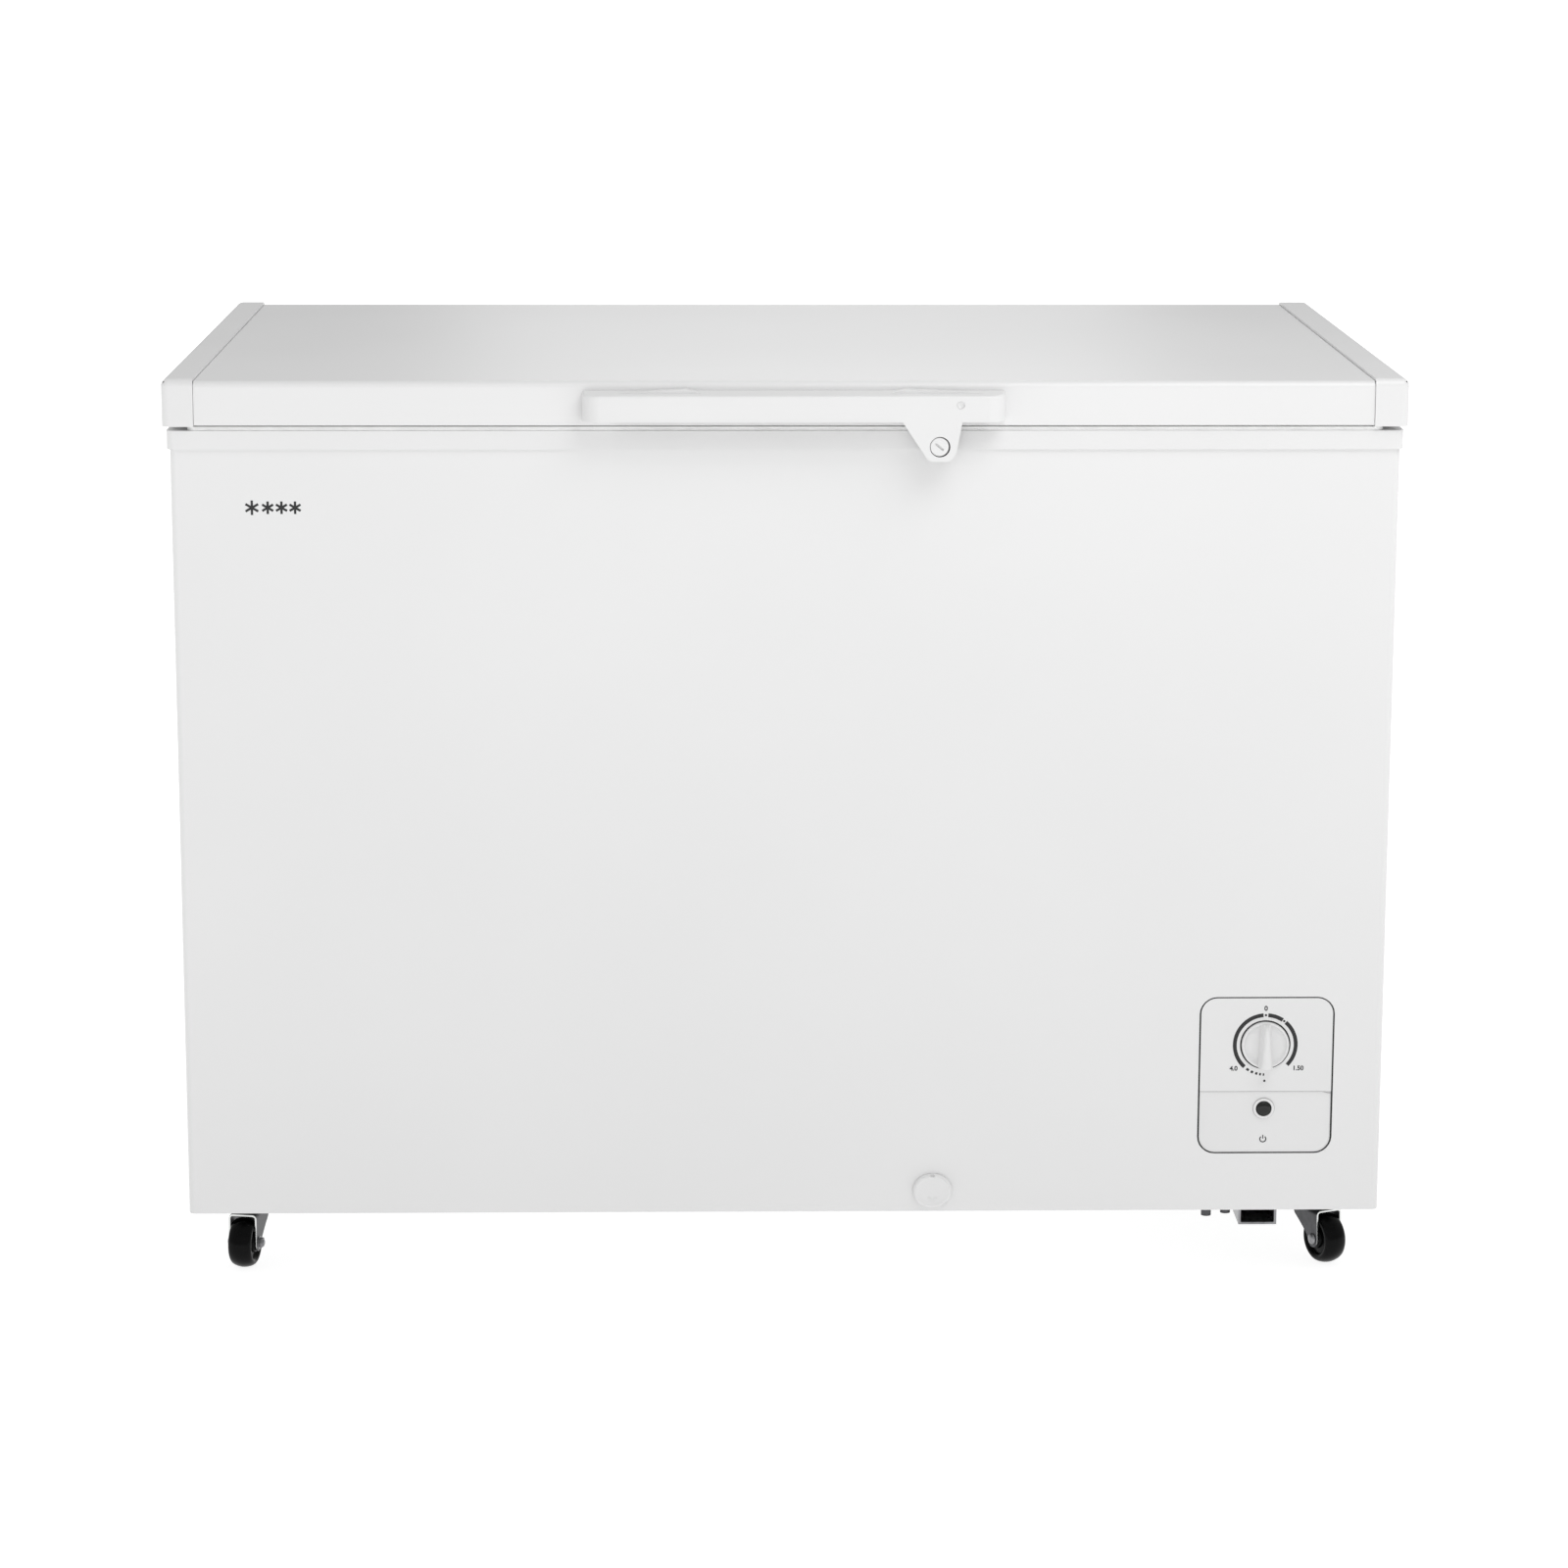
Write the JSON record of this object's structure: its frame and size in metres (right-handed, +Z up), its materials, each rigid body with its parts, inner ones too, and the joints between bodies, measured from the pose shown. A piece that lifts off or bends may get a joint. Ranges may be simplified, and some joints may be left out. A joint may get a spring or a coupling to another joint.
{
  "type": "chest freezer",
  "caption": "White chest freezer on swivel casters, with a hinged lid with pull handle and lock, hanging basket, thermostat dial, drain and compressor bay.",
  "frame": {"origin": "on the floor under the centre of the whole freezer's box", "axes": "+X to the right seen from the front, +Y to the back, +Z up"},
  "size_m": [1.12, 0.7224, 0.85],
  "materials": {
    "white_enamel": "satin",
    "white_plastic": "satin",
    "inner_plastic": "satin",
    "liner_metal": "satin",
    "zinc_steel": "satin",
    "black_steel": "satin",
    "copper": "satin",
    "insulation": "matte",
    "black_plastic": "matte",
    "tread_black": "gloss",
    "seal_rubber": "matte",
    "grommet_rubber": "matte",
    "lens_dark": "gloss",
    "basket_wire": "gloss"
  },
  "bodies": {
    "cabinet": {"back_panel": "white_enamel", "base_pan": "zinc_steel", "cabinet_foam": "insulation", "cabinet_screws": "zinc_steel", "caster_bolts": "zinc_steel", "caster_mounts": "zinc_steel", "compressor": "black_steel", "compressor_bolts": "zinc_steel", "compressor_grommets": "grommet_rubber", "compressor_rail": "zinc_steel", "compressor_tray": "zinc_steel", "condenser_coil": "copper", "control_panel": "white_plastic", "cord_gland": "black_plastic", "drain_pipe": "inner_plastic", "evaporator_coil": "copper", "filter_drier": "copper", "hinge_housings": "white_enamel", "hinge_pins": "zinc_steel", "hinge_springs": "zinc_steel", "inner_liner": "liner_metal", "lamp_lens": "lens_dark", "lock_strike": "zinc_steel", "outer_shell": "white_enamel", "rail_studs": "zinc_steel", "rear_cover": "zinc_steel", "refrigerant_tubes": "copper", "side_grille": "white_plastic", "terminal_cover": "black_plastic", "thermostat": "black_plastic", "top_frame": "white_plastic"},
    "lid": {"lid_panel": "white_enamel", "lid_end_cap_left": "white_plastic", "lid_end_cap_right": "white_plastic", "lid_liner": "inner_plastic", "lid_foam": "insulation", "lid_gasket": "seal_rubber", "lid_handle": "white_plastic", "handle_screw_cap": "white_plastic", "lid_screws": "zinc_steel", "hinge_leaves": "zinc_steel"},
    "lock": {"lock_cylinder": "white_plastic", "lock_cam": "zinc_steel"},
    "knob": {"temperature_knob": "white_plastic"},
    "outer_drain_plug": {"drain_plug": "white_plastic"},
    "inner_drain_stopper": {"drain_stopper": "white_plastic"},
    "basket": {"storage_basket": "basket_wire"},
    "plungers": {"hinge_plungers": "zinc_steel"},
    "swivel_front_left": {"caster_fork_front_left": "zinc_steel", "caster_axle_front_left": "zinc_steel"},
    "wheel_front_left": {"caster_wheel_front_left": "tread_black"},
    "swivel_front_right": {"caster_fork_front_right": "zinc_steel", "caster_axle_front_right": "zinc_steel"},
    "wheel_front_right": {"caster_wheel_front_right": "tread_black"},
    "swivel_rear_left": {"caster_fork_rear_left": "zinc_steel", "caster_axle_rear_left": "zinc_steel"},
    "wheel_rear_left": {"caster_wheel_rear_left": "tread_black"},
    "swivel_rear_right": {"caster_fork_rear_right": "zinc_steel", "caster_axle_rear_right": "zinc_steel"},
    "wheel_rear_right": {"caster_wheel_rear_right": "tread_black"}
  },
  "joints": [
    {"name": "lid_hinge", "type": "hinge", "parent": "cabinet", "child": "lid", "pos_m": [0, 0.352, 0.795], "axis": [-1, 0, 0], "range_deg": [0, 75]},
    {"name": "lock_turn", "type": "hinge", "parent": "lid", "child": "lock", "pos_m": [0.1367, -0.35, 0.7913], "axis": [0, -1, 0], "range_deg": [0, 90]},
    {"name": "knob_turn", "type": "hinge", "parent": "cabinet", "child": "knob", "pos_m": [0.4449, -0.33, 0.2305], "axis": [0, 1, 0], "range_deg": [0, 300]},
    {"name": "drain_plug_pull", "type": "slide", "parent": "cabinet", "child": "outer_drain_plug", "axis": [0, -1, 0], "range_m": [0, 0.04]},
    {"name": "drain_stopper_lift", "type": "slide", "parent": "cabinet", "child": "inner_drain_stopper", "axis": [0, 0, 1], "range_m": [0, 0.03]},
    {"name": "basket_slide", "type": "slide", "parent": "cabinet", "child": "basket", "axis": [-1, 0, 0], "range_m": [0, 0.72]},
    {"name": "plunger_lift", "type": "slide", "parent": "cabinet", "child": "plungers", "axis": [0, 0, 1], "range_m": [0, 0.00515], "deforming": ["hinge_springs"]},
    {"name": "swivel_front_left", "type": "hinge", "parent": "cabinet", "child": "swivel_front_left", "pos_m": [-0.505, -0.25, 0.0535], "axis": [0, 0, 1], "continuous": true},
    {"name": "roll_front_left", "type": "hinge", "parent": "swivel_front_left", "child": "wheel_front_left", "pos_m": [-0.5092, -0.2716, 0.024], "axis": [0.9816, -0.1908, 0], "continuous": true},
    {"name": "swivel_front_right", "type": "hinge", "parent": "cabinet", "child": "swivel_front_right", "pos_m": [0.505, -0.25, 0.0535], "axis": [0, 0, 1], "continuous": true},
    {"name": "roll_front_right", "type": "hinge", "parent": "swivel_front_right", "child": "wheel_front_right", "pos_m": [0.5143, -0.26994, 0.024], "axis": [0.9063, 0.4226, 0], "continuous": true},
    {"name": "swivel_rear_left", "type": "hinge", "parent": "cabinet", "child": "swivel_rear_left", "pos_m": [-0.505, 0.25, 0.0535], "axis": [0, 0, 1], "continuous": true},
    {"name": "roll_rear_left", "type": "hinge", "parent": "swivel_rear_left", "child": "wheel_rear_left", "pos_m": [-0.50194, 0.22821, 0.024], "axis": [0.9903, 0.1392, 0], "continuous": true},
    {"name": "swivel_rear_right", "type": "hinge", "parent": "cabinet", "child": "swivel_rear_right", "pos_m": [0.505, 0.25, 0.0535], "axis": [0, 0, 1], "continuous": true},
    {"name": "roll_rear_right", "type": "hinge", "parent": "swivel_rear_right", "child": "wheel_rear_right", "pos_m": [0.49931, 0.22875, 0.024], "axis": [0.9659, -0.2588, 0], "continuous": true}
  ],
  "couplings": [
    {"joint": "plunger_lift", "follows": "lid_hinge", "m_per_rad": 0.0039}
  ]
}
